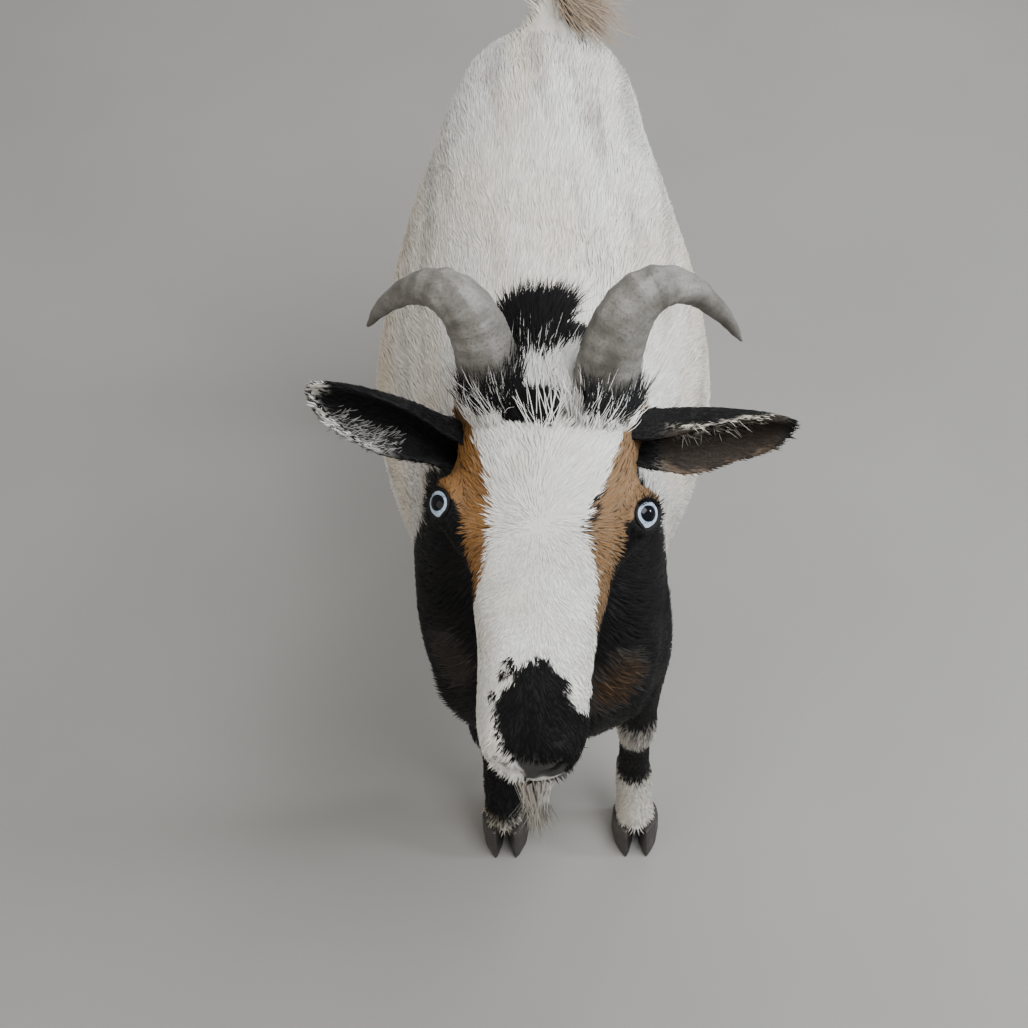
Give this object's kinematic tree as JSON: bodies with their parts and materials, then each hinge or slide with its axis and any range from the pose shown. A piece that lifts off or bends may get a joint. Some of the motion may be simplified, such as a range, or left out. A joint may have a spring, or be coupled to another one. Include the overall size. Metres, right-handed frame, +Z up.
{
  "type": "goat model",
  "caption": "Life-size still model of a small horned goat standing, head lowered a little, tail raised, with a white face blaze and dark chest.",
  "frame": {"origin": "middle of the whole model's box in plan, on the floor that the hooves stand on", "axes": "+Z up; -Y the way the goat faces; +X to the goat's left"},
  "size_m": [0.2894, 0.7326, 0.7218],
  "materials": {
    "white_coat": "short to medium white hair over skin",
    "black_coat": "short black hair over skin",
    "horn": "ridged grey-brown horn",
    "hoof": "black hoof horn, smooth and slightly shiny",
    "eye": "wet, pale blue iris with a dark level pupil"
  },
  "bodies": {
    "root": {"beard": "white_coat", "claw_front_left_inner": "hoof", "claw_front_left_outer": "hoof", "claw_front_right_inner": "hoof", "claw_front_right_outer": "hoof", "claw_hind_left_inner": "hoof", "claw_hind_left_outer": "hoof", "claw_hind_right_inner": "hoof", "claw_hind_right_outer": "hoof", "dewclaw_front_left_inner": "hoof", "dewclaw_front_left_outer": "hoof", "dewclaw_front_right_inner": "hoof", "dewclaw_front_right_outer": "hoof", "dewclaw_hind_left_inner": "hoof", "dewclaw_hind_left_outer": "hoof", "dewclaw_hind_right_inner": "hoof", "dewclaw_hind_right_outer": "hoof", "ear_left": "black_coat", "ear_right": "black_coat", "eye_left": "eye", "eye_right": "eye", "head": "white_coat", "horn_left": "horn", "horn_right": "horn", "leg_front_left": "black_coat", "leg_front_right": "black_coat", "leg_hind_left": "white_coat", "leg_hind_right": "white_coat", "neck": "black_coat", "tail": "white_coat", "trunk": "white_coat"}
  },
  "joints": []
}
